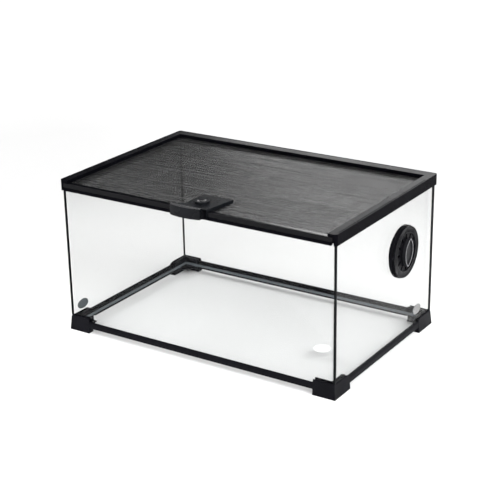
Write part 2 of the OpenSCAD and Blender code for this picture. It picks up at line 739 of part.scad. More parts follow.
place() glass_bottom();
place() glass_front();
place() glass_back();
place() glass_left();
place() glass_right();
place() seam(-1, -1, seam_run_front);  // seam_front_left
place() seam(1, -1, seam_run_front);  // seam_front_right
place() seam(-1, 1, seam_run_back);  // seam_back_left
place() seam(1, 1, seam_run_back);  // seam_back_right
place() base_trim_long(-1);  // base_trim_front
place() base_trim_long(1);  // base_trim_back
place() base_trim_side(-1);  // base_trim_left
place() base_trim_side(1);  // base_trim_right
place() foot(-1, -1);  // foot_front_left
place() foot(1, -1);  // foot_front_right
place() foot(-1, 1);  // foot_back_left
place() foot(1, 1);  // foot_back_right
place() top_rail_side(-1);  // top_rail_left
place() top_rail_side(1);  // top_rail_right
place() top_rail_back();
place() front_sill();
place() top_corner(-1);  // top_corner_left
place() top_corner(1);  // top_corner_right
place() end_cap(-1);  // end_cap_left
place() end_cap(1);  // end_cap_right
place() lock_striker();
place() lid_bar_side(-1);  // lid_bar_left
place() lid_bar_side(1);  // lid_bar_right
place() lid_bar_back();
place() lid_bar_front();
place() lid_mesh();
place() mesh_strip_side(-1);  // mesh_strip_left
place() mesh_strip_side(1);  // mesh_strip_right
place() mesh_strip_back();
place() mesh_strip_front();
place() latch_plate();
place() latch_grip();
place() latch_backing();
place() latch_screws();
place() lock_barrel();
place() lock_cam();
place() lock_cam_screw();
place() vent_body();
place() vent_gasket();
place() vent_face();
place() vent_screen();
place() vent_shutter();
place() vent_knob();
place() vent_screw();
place() badge_left();
place() badge_right();
place() floor_label();
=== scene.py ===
"""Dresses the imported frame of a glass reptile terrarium: plastics, panes, woven lid, latch and vent."""
import math

import bmesh
import bpy
from mathutils import Matrix, Vector


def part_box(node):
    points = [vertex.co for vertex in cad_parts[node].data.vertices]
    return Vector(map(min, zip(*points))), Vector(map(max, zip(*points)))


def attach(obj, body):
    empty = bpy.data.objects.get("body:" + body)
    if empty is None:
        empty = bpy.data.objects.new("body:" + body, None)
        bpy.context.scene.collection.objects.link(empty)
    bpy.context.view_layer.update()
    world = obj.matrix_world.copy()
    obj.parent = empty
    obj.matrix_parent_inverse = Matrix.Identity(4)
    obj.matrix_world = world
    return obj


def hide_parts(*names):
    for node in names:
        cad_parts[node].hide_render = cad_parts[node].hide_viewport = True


bl_info = {
    "name": "Reptile Terrarium",
    "version": (1, 0, 0),
    "blender": (4, 5, 0),
    "location": "3D View > Sidebar > Terrarium",
    "description": "Dresses a glass terrarium with its plastics, panes, woven lid, latch and vent",
    "category": "Object",
}

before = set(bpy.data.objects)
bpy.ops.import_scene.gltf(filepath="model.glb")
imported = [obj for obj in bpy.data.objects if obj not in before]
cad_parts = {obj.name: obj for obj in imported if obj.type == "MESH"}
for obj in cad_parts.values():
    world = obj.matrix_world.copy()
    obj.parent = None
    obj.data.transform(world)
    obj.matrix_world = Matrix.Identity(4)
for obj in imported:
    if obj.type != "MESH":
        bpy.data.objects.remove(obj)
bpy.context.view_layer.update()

MM = 0.001
WELD = 0.002 * MM
SHARP = math.radians(35)

WALLS = ("glass_front", "glass_back", "glass_left", "glass_right")
WALL_SHEEN = (0.006, 0.5)
BOTTOM_SHEEN = (0.015, 0.35)

# The studio: metres, degrees and watts. Azimuth 0 comes from the front and grows to the right
FLOOR_SIZE = 60
# Painted shade on the floor: its colour darkens between the FLOOR_FADE distances from its middle and partly
# lightens again over FLOOR_RETURN
FLOOR_FADE = (0.18, 0.5)
FLOOR_RETURN = (0.8, 1.6)
FLOOR_RETURN_SHARE = 0.6
FLOOR_PAINTED_SHADE = 0.65
WORLD_STRENGTH = 0.5
SUN_AZIMUTHS = {"Front": 25, "Right": 85, "Left": -100}
SUN_ELEVATION = 28
SUN_SPREAD = 54
SUN_STRENGTH = 3.15
PANEL_PLACE = (-0.85, 2.6, 1.45)
PANEL_TARGET = (-0.85, 0, 0.15)
PANEL_SIZE = 2.45
PANEL_POWER = 95
FLAG_PLACE = (-2.78, 2.45, 2.45)
FLAG_SIZE = 3.6
FLAG_LEAN = -37.5
BACKDROP_RADIUS = 12
BACKDROP_HEIGHT = 10
BACKDROP_MIDDLE = 4.9
BACKDROP_STRENGTH = 1.05

# Where the camera stands from the middle of the tank, in metres, and how it is turned, in degrees
CAMERA_FROM_TANK = Vector((0.6756, -1.0350, 0.5563))
CAMERA_AZIMUTH = 33.13
CAMERA_ELEVATION = 20.96
CAMERA_ROLL = -0.944
CAMERA_LENS = 95.46
CAMERA_SENSOR = 36.0


# ---- Editing helpers ----
def clear_selection():
    if bpy.context.mode != "OBJECT":
        bpy.ops.object.mode_set(mode="OBJECT")
    bpy.ops.object.select_all(action="DESELECT")


def only(piece):
    clear_selection()
    piece.select_set(True)
    bpy.context.view_layer.objects.active = piece


def start_edit(piece, mode="FACE"):
    only(piece)
    bpy.ops.object.mode_set(mode="EDIT")
    bpy.ops.mesh.select_mode(type=mode)
    bpy.ops.mesh.select_all(action="DESELECT")


def end_edit():
    bpy.ops.object.mode_set(mode="OBJECT")


def pick_faces(piece, test):
    """Selects the faces that pass the test, in edit mode."""
    bpy.ops.mesh.select_all(action="DESELECT")
    mesh = bmesh.from_edit_mesh(piece.data)
    picked = [face for face in mesh.faces if test(face)]
    for face in picked:
        face.select_set(True)
    bmesh.update_edit_mesh(piece.data)
    if not picked:
        raise RuntimeError(f"{piece.name}: no face passes the test")


def give_material(index):
    """Gives the selected faces the piece's material of that number, in edit mode."""
    bpy.context.object.active_material_index = index
    bpy.ops.object.material_slot_assign()


def apply_place(piece):
    only(piece)
    bpy.ops.object.transform_apply(location=True, rotation=True, scale=True)


def apply_modifier(piece, kind, **settings):
    only(piece)
    modifier = piece.modifiers.new(kind.title(), kind)
    for name, value in settings.items():
        setattr(modifier, name, value)
    bpy.ops.object.modifier_apply(modifier=modifier.name)


def round_edges(piece, width, segments=2):
    """Rounds every sharp edge, and shades the flats flat and the curves smooth."""
    apply_modifier(piece, "BEVEL", width=width, segments=segments, limit_method="ANGLE", angle_limit=SHARP)
    only(piece)
    bpy.ops.object.shade_smooth_by_angle(angle=SHARP)
    apply_modifier(piece, "WEIGHTED_NORMAL", keep_sharp=True)


def copy_of_node(node, name):
    """A new piece with the node's shape, its loose triangles welded and its flats made whole."""
    piece = bpy.data.objects.new(name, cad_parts[node].data.copy())
    bpy.context.scene.collection.objects.link(piece)
    start_edit(piece, "VERT")
    bpy.ops.mesh.select_all(action="SELECT")
    bpy.ops.mesh.remove_doubles(threshold=WELD)
    bpy.ops.mesh.dissolve_limited(angle_limit=math.radians(0.5))
    end_edit()
    return piece


def cut_away(piece, cutter):
    """Takes the cutter out of the piece and deletes it."""
    apply_modifier(piece, "BOOLEAN", operation="DIFFERENCE", solver="EXACT", object=cutter)
    bpy.data.objects.remove(cutter)


def add_cylinder(name, radius, z0, z1, centre, sides=48):
    """A round solid about a vertical axis, from height z0 to z1."""
    clear_selection()
    bpy.ops.mesh.primitive_cylinder_add(
        vertices=sides, radius=radius, depth=z1 - z0, location=(centre[0], centre[1], (z0 + z1) / 2)
    )
    piece = bpy.context.object
    piece.name = name
    apply_place(piece)
    return piece


def add_box(name, lo, hi):
    clear_selection()
    middle = (Vector(lo) + Vector(hi)) / 2
    bpy.ops.mesh.primitive_cube_add(size=1, location=middle)
    piece = bpy.context.object
    piece.name = name
    piece.scale = Vector(hi) - Vector(lo)
    apply_place(piece)
    return piece


def finish_piece(piece, body, material, *nodes):
    """Gives a piece its finish, the body it rides on and the nodes that it stands for."""
    piece.data.materials.clear()
    piece.data.materials.append(material)
    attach(piece, body)
    if nodes:
        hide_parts(*nodes)
    clear_selection()


def mould_nodes(nodes, body, material, width, segments=2):
    """Replaces each node by its own shape with moulded edges."""
    for node in nodes:
        piece = copy_of_node(node, node + "_moulded")
        round_edges(piece, width, segments)
        finish_piece(piece, body, material, node)


def dress_nodes(nodes, material):
    """Gives the finish to nodes whose own shape stays."""
    for node in nodes:
        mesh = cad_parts[node].data
        mesh.materials.clear()
        mesh.materials.append(material)


# ---- Material helpers ----
def new_material(name, slot):
    material = bpy.data.materials.new(name)
    material["slot"] = slot
    material.use_nodes = True
    material.node_tree.nodes.clear()
    return material


def add_node(material, kind, **inputs):
    """Adds a node and sets or links its inputs by name."""
    node = material.node_tree.nodes.new(kind)
    for name, value in inputs.items():
        socket = node.inputs[name.replace("_", " ")]
        if isinstance(value, bpy.types.NodeSocket):
            material.node_tree.links.new(value, socket)
        else:
            socket.default_value = value
    return node


def surface_noise(material, scale, detail=3.0, stretch=(1, 1, 1)):
    """Noise fixed to the object, stretched along its axes, from 0 to 1."""
    place = add_node(material, "ShaderNodeTexCoord")
    mapping = add_node(material, "ShaderNodeMapping", Vector=place.outputs["Object"], Scale=stretch)
    noise = add_node(material, "ShaderNodeTexNoise", Vector=mapping.outputs[0], Scale=scale, Detail=detail)
    return noise.outputs[0]


def remap(material, value, low, high, from_low=0.3, from_high=0.7):
    node = add_node(material, "ShaderNodeMapRange", Value=value)
    node.inputs["From Min"].default_value = from_low
    node.inputs["From Max"].default_value = from_high
    node.inputs["To Min"].default_value = low
    node.inputs["To Max"].default_value = high
    return node.outputs[0]


def blend_colours(material, factor, first, second):
    node = material.node_tree.nodes.new("ShaderNodeMix")
    node.data_type = "RGBA"
    material.node_tree.links.new(factor, node.inputs[0])
    node.inputs[6].default_value = first
    node.inputs[7].default_value = second
    return node.outputs[2]


def shaded(colour, factor):
    return [channel * factor for channel in colour[:3]] + [1]


def grain(material, scale, depth, strength=0.5):
    height = surface_noise(material, scale, 2)
    bump = add_node(material, "ShaderNodeBump", Height=height, Distance=depth, Strength=strength)
    return bump.outputs[0]


def cloudy_tones(material, pattern, colour, low, high):
    """The colour, from its low to its high share as the pattern goes."""
    return blend_colours(material, remap(material, pattern, 0, 1), shaded(colour, low), shaded(colour, high))


def finish_material(material, shader):
    add_node(material, "ShaderNodeOutputMaterial", Surface=shader.outputs[0])
    return material


def principled(material, colours, roughness, specular=0.5, **inputs):
    """Ends a material with Blender's general shader."""
    shader = add_node(material, "ShaderNodeBsdfPrincipled", Base_Color=colours, Roughness=roughness, **inputs)
    shader.inputs["Specular IOR Level"].default_value = specular
    return finish_material(material, shader)


def moulded_plastic(name, slot, colour, rough, specular=0.35, depth=0.04 * MM):
    """Moulded plastic: cloudy colour, patches of duller shine and a fine grain."""
    material = new_material(name, slot)
    colours = cloudy_tones(material, surface_noise(material, 60, 4), colour, 0.75, 1.3)
    roughness = remap(material, surface_noise(material, 35, 3), rough * 0.8, rough * 1.25)
    return principled(material, colours, roughness, specular, Normal=grain(material, 1800, depth))


def worn_metal(name, slot, colour, rough):
    """Bright metal with fine brushing and dull patches."""
    material = new_material(name, slot)
    colours = cloudy_tones(material, surface_noise(material, 900, 3, (1, 8, 1)), colour, 0.8, 1.05)
    roughness = remap(material, surface_noise(material, 300, 3), rough * 0.7, rough * 1.4)
    return principled(material, colours, roughness, Metallic=1.0, Normal=grain(material, 1500, 0.01 * MM))


def clear_glass(name, slot, tint, sheen_range):
    """Pane of float glass: see-through, with a sheen that grows towards grazing views."""
    material = new_material(name, slot)
    clear = add_node(material, "ShaderNodeBsdfTransparent", Color=tint)
    smears = remap(material, surface_noise(material, 9, 3, (1, 1, 0.4)), 0.0, 0.03)
    sheen = add_node(material, "ShaderNodeBsdfAnisotropic", Roughness=smears)
    facing = add_node(material, "ShaderNodeLayerWeight", Blend=0.5)
    power = add_node(material, "ShaderNodeMath")
    power.operation = "POWER"
    material.node_tree.links.new(facing.outputs["Facing"], power.inputs[0])
    power.inputs[1].default_value = 5
    share = remap(material, power.outputs[0], *sheen_range, 0, 1)
    mix = add_node(material, "ShaderNodeMixShader", Fac=share)
    material.node_tree.links.new(clear.outputs[0], mix.inputs[1])
    material.node_tree.links.new(sheen.outputs[0], mix.inputs[2])
    return finish_material(material, mix)


def ground_edge_with_reflection(name, slot, colour):
    """The pale, dull edge that a grinding wheel leaves on a pane; its blue-grey also stands in for the bottom
    pane's reflection of its bright surroundings, a painted reflection.
    """
    material = new_material(name, slot)
    colours = cloudy_tones(material, surface_noise(material, 700, 3, (1, 1, 0.2)), colour, 0.85, 1.1)
    return principled(material, colours, 0.5, Normal=grain(material, 1500, 0.02 * MM))


def woven_wire(name, slot, dark, light, stretch):
    """Coated wire whose tone runs in long streaks, as the weave pulls it tighter or looser."""
    material = new_material(name, slot)
    streaks = surface_noise(material, 1, 3, stretch)
    colours = blend_colours(material, remap(material, streaks, 0, 1, 0.4, 0.6), dark, light)
    roughness = remap(material, streaks, 0.3, 0.12, 0.4, 0.6)
    return principled(material, colours, roughness, 0.25)


def plain_paper(name, slot, colour):
    material = new_material(name, slot)
    colours = cloudy_tones(material, surface_noise(material, 700, 4), colour, 0.97, 1)
    return principled(material, colours, 0.6, Normal=grain(material, 1200, 0.01 * MM))


# ---- Settings ----
def length(name, description, default):
    return bpy.props.FloatProperty(name=name, description=description, default=default, min=0, unit="LENGTH")


def tone(name, description, default):
    return bpy.props.FloatVectorProperty(
        name=name, description=description, default=default, size=4, min=0, max=1, subtype="COLOR"
    )


MESH_LO, MESH_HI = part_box("lid_mesh")
PANE_LO, PANE_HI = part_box("glass_bottom")
TANK_MIDDLE = Vector(((PANE_LO.x + PANE_HI.x) / 2, (PANE_LO.y + PANE_HI.y) / 2, 0))


class TerrariumSizes(bpy.types.PropertyGroup):
    edge_round: length("Plastic edges", "Rounding of the rails, trims and lid bars", 0.25 * MM)
    seam_round: length("Silicone edges", "Rounding of the silicone beads", 0.2 * MM)
    seam_spread: length("Seam spread", "How far the back right bead is spread over the glass", 2 * MM)
    foot_round: length("Foot edges", "Rounding of the feet", 0.6 * MM)
    latch_round: length("Latch edges", "Rounding of the latch and its grip", 0.45 * MM)
    vent_round: length("Vent edges", "Rounding of the vent's rings", 0.3 * MM)
    knob_round: length("Knob edges", "Rounding of the vent's knob", 0.25 * MM)
    wire_thick: length("Wire thickness", "Thickness of a wire in the woven lid", (MESH_HI.z - MESH_LO.z) / 2)
    wire_pitch: length("Wire pitch", "Distance from one wire of the lid to the next", 0.77 * MM)
    lock_hole: length("Hole for the lock", "Radius of the hole that the mesh leaves for the lock", 3.8 * MM)
    recess_border: length("Apron border", "Border left round the recess in the latch's apron", 0.3 * MM)
    recess_depth: length("Apron recess", "Depth of the recess in the latch's apron", 0.5 * MM)
    # The two rims below are raised rings whose brighter colour is a painted highlight
    vent_rim_width: length("Vent rim", "Width of the painted-highlight rim of the vent's face", 0.35 * MM)
    knob_rim_width: length("Knob rim", "Width of the painted-highlight rim of the knob", 0.5 * MM)
    rim_rise: length("Rim rise", "How far both worn rims stand above their faces", 0.12 * MM)
    badge_rim: length("Badge rim", "Width of the raised rim round an oval badge", 0.7 * MM)
    badge_pad: length("Badge pad", "Thickness of the pad that holds a badge on the glass", 0.35 * MM)


class TerrariumColours(bpy.types.PropertyGroup):
    frame_black: tone("Frame", "Colour of the top frame's plastic", (0.002, 0.002, 0.003, 1))
    base_black: tone("Base", "Colour of the feet and trims", (0.003, 0.003, 0.0045, 1))
    lid_black: tone("Lid", "Colour of the lid's bars", (0.002, 0.002, 0.0028, 1))
    latch_grey: tone("Latch", "Colour of the latch", (0.005, 0.0055, 0.0065, 1))
    grip_grey: tone("Grip", "Colour of the latch's grip", (0.005, 0.0053, 0.0066, 1))
    vent_black: tone("Vent", "Colour of the vent", (0.0035, 0.0035, 0.0045, 1))
    knob_grey: tone("Knob", "Colour of the vent's knob", (0.012, 0.0122, 0.014, 1))
    # Painted highlight: the vent's and knob's rim colours are brighter than the plastic of their faces
    vent_rim_highlight: tone("Vent rim", "Colour of the vent's painted-highlight rim", (0.014, 0.0145, 0.016, 1))
    knob_rim_highlight: tone("Knob rim", "Colour of the knob's painted-highlight rim", (0.2, 0.2, 0.21, 1))
    silicone: tone("Silicone", "Colour of the silicone in the corners", (0.002, 0.0025, 0.003, 1))
    glass_tint: tone("Glass", "Colour that one face of a wall lets through", (0.93, 0.932, 0.931, 1))
    bottom_tint: tone("Bottom glass", "Colour that the bottom's faces let through", (0.993, 0.995, 0.995, 1))
    # The glass edge colour is partly the ground edge's own tone and partly a painted reflection
    glass_edge_and_reflection: tone("Glass edge", "Colour of the bottom pane's ground edges", (0.1, 0.116, 0.127, 1))
    wire_dark: tone("Dark wire", "Darkest tone of the lid's wires", (0.002, 0.002, 0.0025, 1))
    wire_light: tone("Light wire", "Lightest tone of the lid's wires", (0.015, 0.015, 0.015, 1))
    # The lock plug's metal is darkened far below chrome: painted shade of the well it sits in
    chrome_in_painted_shade: tone("Lock metal", "Colour of the lock's plug", (0.045, 0.045, 0.048, 1))
    steel: tone("Steel", "Colour of the screws and the cam", (0.45, 0.46, 0.48, 1))
    badge_face: tone("Badge", "Colour of a badge's face", (0.3, 0.3, 0.3, 1))
    badge_pad: tone("Badge pad", "Colour of the pad behind a badge", (0.105, 0.122, 0.13, 1))
    label: tone("Label", "Colour of the round label on the bottom", (0.9, 0.9, 0.9, 1))
    floor: tone("Floor", "Colour of the floor", (0.97, 0.97, 0.97, 1))


# ---- Operators ----
class TERRARIUM_OT_glass(bpy.types.Operator):
    """Gives the five panes their glass and the corners their silicone"""

    bl_idname = "terrarium.glass"
    bl_label = "Glass and silicone"

    def execute(self, context):
        colours = context.scene.terrarium_colours
        sizes = context.scene.terrarium_sizes
        dress_nodes(WALLS, clear_glass("Float glass", "glass", colours.glass_tint, WALL_SHEEN))
        self.lay_bottom(colours)
        silicone = moulded_plastic(
            "Silicone", "silicone", colours.silicone, rough=0.4, specular=0.05, depth=0.1 * MM,
        )
        seams = ["seam_front_left", "seam_front_right", "seam_back_left"]
        mould_nodes(seams, "tank", silicone, sizes.seam_round)
        self.spread_seam(silicone, sizes)
        return {"FINISHED"}

    def spread_seam(self, silicone, sizes):
        """The back right seam, spread over the whole end of the back pane."""
        seam = copy_of_node("seam_back_right", "seam_back_right_moulded")
        front = min(vertex.co.y for vertex in seam.data.vertices)
        start_edit(seam)
        pick_faces(seam, lambda face: face.normal.y < -0.9 and face.calc_center_median().y < front + WELD)
        bpy.ops.transform.translate(value=(0, -sizes.seam_spread, 0))
        end_edit()
        round_edges(seam, sizes.seam_round, 2)
        finish_piece(seam, "tank", silicone, "seam_back_right")

    def lay_bottom(self, colours):
        """The bottom pane, its four edges ground dull."""
        pane = copy_of_node("glass_bottom", "glass_bottom_pane")
        clear = clear_glass("Bottom glass", "glass", colours.bottom_tint, BOTTOM_SHEEN)
        finish_piece(pane, "tank", clear, "glass_bottom")
        # The pane's edge faces: ground glass, their blue-grey partly a painted reflection
        pane.data.materials.append(ground_edge_with_reflection("Ground edge", "glass", colours.glass_edge_and_reflection))
        start_edit(pane)
        pick_faces(pane, lambda face: abs(face.normal.z) < 0.1)
        give_material(1)
        end_edit()


class TERRARIUM_OT_base(bpy.types.Operator):
    """Moulds the four feet and the four trims between them"""

    bl_idname = "terrarium.base"
    bl_label = "Feet and trims"

    def execute(self, context):
        colours = context.scene.terrarium_colours
        sizes = context.scene.terrarium_sizes
        plastic = moulded_plastic(
            "Base plastic", "base_plastic", colours.base_black, rough=0.42, specular=0.055, depth=0.08 * MM,
        )
        feet = ["foot_front_left", "foot_front_right", "foot_back_left", "foot_back_right"]
        trims = ["base_trim_front", "base_trim_back", "base_trim_left", "base_trim_right"]
        mould_nodes(feet, "tank", plastic, sizes.foot_round, 3)
        mould_nodes(trims, "tank", plastic, sizes.edge_round)
        return {"FINISHED"}


class TERRARIUM_OT_top_frame(bpy.types.Operator):
    """Moulds the rails, corners, end caps, sill and striker"""

    bl_idname = "terrarium.top_frame"
    bl_label = "Top frame"

    def execute(self, context):
        colours = context.scene.terrarium_colours
        sizes = context.scene.terrarium_sizes
        plastic = moulded_plastic(
            "Rail plastic", "rail_plastic", colours.frame_black, rough=0.27, specular=0.012,
        )
        rails = ["top_rail_left", "top_rail_right", "top_rail_back", "front_sill"]
        ends = ["top_corner_left", "top_corner_right", "end_cap_left", "end_cap_right", "lock_striker"]
        mould_nodes(rails + ends, "tank", plastic, sizes.edge_round)
        return {"FINISHED"}


class TERRARIUM_OT_lid(bpy.types.Operator):
    """Moulds the lid's four bars and gives the strips under the mesh the same plastic"""

    bl_idname = "terrarium.lid"
    bl_label = "Lid bars"

    def execute(self, context):
        colours = context.scene.terrarium_colours
        sizes = context.scene.terrarium_sizes
        plastic = moulded_plastic(
            "Lid plastic", "lid_plastic", colours.lid_black, rough=0.1, specular=0.14,
        )
        sides = ["left", "right", "back", "front"]
        mould_nodes(["lid_bar_" + side for side in sides], "lid", plastic, sizes.edge_round)
        dress_nodes(["mesh_strip_" + side for side in sides], plastic)
        return {"FINISHED"}


class TERRARIUM_OT_mesh(bpy.types.Operator):
    """Lays the lid's wires, one run over the other, with a hole round the lock"""

    bl_idname = "terrarium.mesh"
    bl_label = "Woven mesh"

    def execute(self, context):
        colours = context.scene.terrarium_colours
        sizes = context.scene.terrarium_sizes
        radius = sizes.wire_thick / 2
        dark, light = colours.wire_dark, colours.wire_light
        across = woven_wire("Wire across", "screen", dark, light, (2.5, 170, 1))
        # The lower run is the same coated wire with its light tone halved: painted shade under the top run
        deep = woven_wire("Wire deep painted shade", "screen", dark, shaded(light, 0.5), (60, 5, 1))
        runs = [("wires_across", 0, MESH_HI.z - radius, across), ("wires_deep", 1, MESH_LO.z + radius, deep)]
        lock_lo, lock_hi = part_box("lock_barrel")
        centre = (lock_lo + lock_hi) / 2
        for name, along, level, material in runs:
            piece = self.wire_run(name, along, level, radius, sizes.wire_pitch)
            hole = add_cylinder("hole", sizes.lock_hole, MESH_LO.z - MM, MESH_HI.z + MM, centre, 32)
            cut_away(piece, hole)
            finish_piece(piece, "lid", material, "lid_mesh")
        return {"FINISHED"}

    def wire_run(self, name, along, level, radius, pitch):
        """Wires along one axis, copied at their pitch over the mesh's width."""
        across = 1 - along
        span = MESH_HI[along] - MESH_LO[along]
        room = MESH_HI[across] - MESH_LO[across] - 2 * radius
        count = int(room / pitch) + 1
        first = MESH_LO[across] + radius + (room - (count - 1) * pitch) / 2
        place = Vector((0, 0, level))
        place[along] = (MESH_LO[along] + MESH_HI[along]) / 2
        place[across] = first
        turn = (0, math.pi / 2, 0) if along == 0 else (math.pi / 2, math.pi / 6, 0)
        clear_selection()
        bpy.ops.mesh.primitive_cylinder_add(
            vertices=6, radius=radius, depth=span, location=place, rotation=turn,
        )
        piece = bpy.context.object
        piece.name = name
        apply_place(piece)
        step = Vector((0, 0, 0))
        step[across] = pitch
        apply_modifier(
            piece, "ARRAY", count=count, use_relative_offset=False,
            use_constant_offset=True, constant_offset_displace=step,
        )
        return piece


class TERRARIUM_OT_latch(bpy.types.Operator):
    """Moulds the latch plate and its grip, and dresses the parts under the lid"""

    bl_idname = "terrarium.latch"
    bl_label = "Latch"

    def execute(self, context):
        colours = context.scene.terrarium_colours
        sizes = context.scene.terrarium_sizes
        plastic = moulded_plastic(
            "Latch plastic", "latch_plastic", colours.latch_grey, rough=0.28, specular=0.008,
        )
        shiny = moulded_plastic(
            "Grip plastic", "latch_plastic", colours.grip_grey, rough=0.26, specular=0.1,
        )
        mould_nodes(["latch_grip"], "lid", shiny, sizes.latch_round, 3)
        self.mould_plate(plastic, sizes, colours)
        steel = worn_metal("Steel", "steel", colours.steel, rough=0.35)
        dress_nodes(["latch_backing", "latch_screws"], steel)
        return {"FINISHED"}

    def mould_plate(self, plastic, sizes, colours):
        """The plate, with a recess in the apron beside the grip, coloured darker as painted shade."""
        plate = copy_of_node("latch_plate", "latch_plate_moulded")
        front = min(vertex.co.y for vertex in plate.data.vertices)
        round_edges(plate, sizes.latch_round, 3)
        # The recess takes the lid's darker black: painted shade in the recess
        dark = moulded_plastic(
            "Apron recess", "latch_plastic", colours.lid_black, rough=0.3, specular=0.02,
        )
        finish_piece(plate, "lid", plastic, "latch_plate")
        plate.data.materials.append(dark)
        start_edit(plate)
        limit = front + 0.1 * MM
        pick_faces(plate, lambda face: face.normal.y < -0.99 and face.calc_center_median().y < limit)
        bpy.ops.mesh.inset(thickness=sizes.recess_border)
        give_material(1)
        bpy.ops.mesh.extrude_region_move(TRANSFORM_OT_translate={"value": (0, sizes.recess_depth, 0)})
        end_edit()


class TERRARIUM_OT_lock(bpy.types.Operator):
    """Turns the lock's collar and its plug with the key slot, the plug darkened with painted shade, and gives
    the cam its steel
    """

    bl_idname = "terrarium.lock"
    bl_label = "Lock"

    # Sizes of the collar's head, its wall and well, the step down to its shaft, and the plug in the well
    HEAD_HEIGHT = 1.15 * MM
    COLLAR_WALL = 0.8 * MM
    WELL_DEPTH = 0.9 * MM
    SHAFT_STEP = 1.1 * MM
    PLUG_SHARE = 0.62
    PLUG_SINK = 0.35 * MM
    PLUG_HEIGHT = 0.6 * MM
    KEY_SLOT = (0.8 * MM, 2.8 * MM, 0.8 * MM)
    COLLAR_ROUND = 0.15 * MM
    PLUG_ROUND = 0.12 * MM

    def execute(self, context):
        colours = context.scene.terrarium_colours
        lo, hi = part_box("lock_barrel")
        centre = (lo + hi) / 2
        head_r = (hi.x - lo.x) / 2
        head_z0 = hi.z - self.HEAD_HEIGHT
        collar = add_cylinder("lock_collar", head_r, head_z0, hi.z, centre)
        start_edit(collar)
        pick_faces(collar, lambda face: face.normal.z > 0.9)
        bpy.ops.mesh.inset(thickness=self.COLLAR_WALL)
        bpy.ops.transform.translate(value=(0, 0, -self.WELL_DEPTH))
        pick_faces(collar, lambda face: face.normal.z < -0.9)
        bpy.ops.mesh.inset(thickness=self.SHAFT_STEP)
        bpy.ops.mesh.extrude_region_move(TRANSFORM_OT_translate={"value": (0, 0, lo.z - head_z0)})
        end_edit()
        round_edges(collar, self.COLLAR_ROUND)
        dark = moulded_plastic(
            "Lock collar", "lock_metal", colours.frame_black, rough=0.25, specular=0.4,
        )
        finish_piece(collar, "lock", dark, "lock_barrel")
        plug_top = hi.z - self.PLUG_SINK
        plug_r = (head_r - self.COLLAR_WALL) * self.PLUG_SHARE
        plug = add_cylinder("lock_plug", plug_r, plug_top - self.PLUG_HEIGHT, plug_top, centre)
        half_slot = Vector(self.KEY_SLOT) / 2
        slot_middle = Vector((centre.x, centre.y, plug_top))
        cut_away(plug, add_box("key_slot", slot_middle - half_slot, slot_middle + half_slot))
        round_edges(plug, self.PLUG_ROUND)
        # The plug's darkened metal is painted shade of its well
        finish_piece(plug, "lock", worn_metal("Chrome", "lock_metal", colours.chrome_in_painted_shade, rough=0.22))
        steel = worn_metal("Cam steel", "steel", colours.steel, rough=0.35)
        dress_nodes(["lock_cam", "lock_cam_screw"], steel)
        return {"FINISHED"}


class TERRARIUM_OT_vent(bpy.types.Operator):
    """Moulds the vent's rings, its shutter and its leaf-shaped knob"""

    bl_idname = "terrarium.vent"
    bl_label = "Vent"

    def execute(self, context):
        colours = context.scene.terrarium_colours
        sizes = context.scene.terrarium_sizes
        plastic = moulded_plastic(
            "Vent plastic", "vent_plastic", colours.vent_black, rough=0.38, specular=0.035,
        )
        mould_nodes(["vent_body"], "tank", plastic, sizes.vent_round)
        mould_nodes(["vent_shutter"], "vent_dial", plastic, sizes.vent_round / 2)
        # The vent face's outer rim gets brighter, shinier plastic: a painted highlight
        bright = moulded_plastic("Painted highlight rim", "vent_plastic", colours.vent_rim_highlight, rough=0.3, specular=0.15)
        face_sizes = (sizes.vent_round, sizes.vent_rim_width, sizes.rim_rise)
        self.rim_node("vent_face", "tank", (plastic, bright), face_sizes)
        knob = moulded_plastic(
            "Knob plastic", "knob_plastic", colours.knob_grey, rough=0.35, specular=0.06,
        )
        # The knob's outer rim gets pale, glossy plastic: a painted highlight
        light = moulded_plastic("Knob rim", "knob_plastic", colours.knob_rim_highlight, rough=0.25, specular=0.6)
        knob_sizes = (sizes.knob_round, sizes.knob_rim_width, sizes.rim_rise)
        self.rim_node("vent_knob", "vent_dial", (knob, light), knob_sizes)
        rubber = moulded_plastic(
            "Gasket rubber", "gasket", colours.frame_black, rough=0.7, specular=0.2, depth=0.1 * MM,
        )
        dress_nodes(["vent_gasket"], rubber)
        dress_nodes(["vent_screen"], worn_metal("Screen wire", "screen", colours.wire_light, rough=0.5))
        dress_nodes(["vent_screw"], worn_metal("Vent screw", "steel", colours.steel, rough=0.35))
        return {"FINISHED"}

    def rim_node(self, node, body, materials, sizes):
        """Replaces a node by its own shape, the rim of its outer side given a brighter material as a painted
        highlight.
        """
        plastic, bright = materials
        width, rim, rise = sizes
        piece = copy_of_node(node, node + "_moulded")
        outer = max(vertex.co.x for vertex in piece.data.vertices)
        round_edges(piece, width)
        finish_piece(piece, body, plastic, node)
        piece.data.materials.append(bright)
        start_edit(piece)
        limit = outer - 0.05 * MM
        pick_faces(piece, lambda face: face.normal.x > 0.99 and face.calc_center_median().x > limit)
        give_material(1)
        bpy.ops.mesh.inset(thickness=rim)
        give_material(0)
        bpy.ops.transform.translate(value=(-rise, 0, 0))
        end_edit()


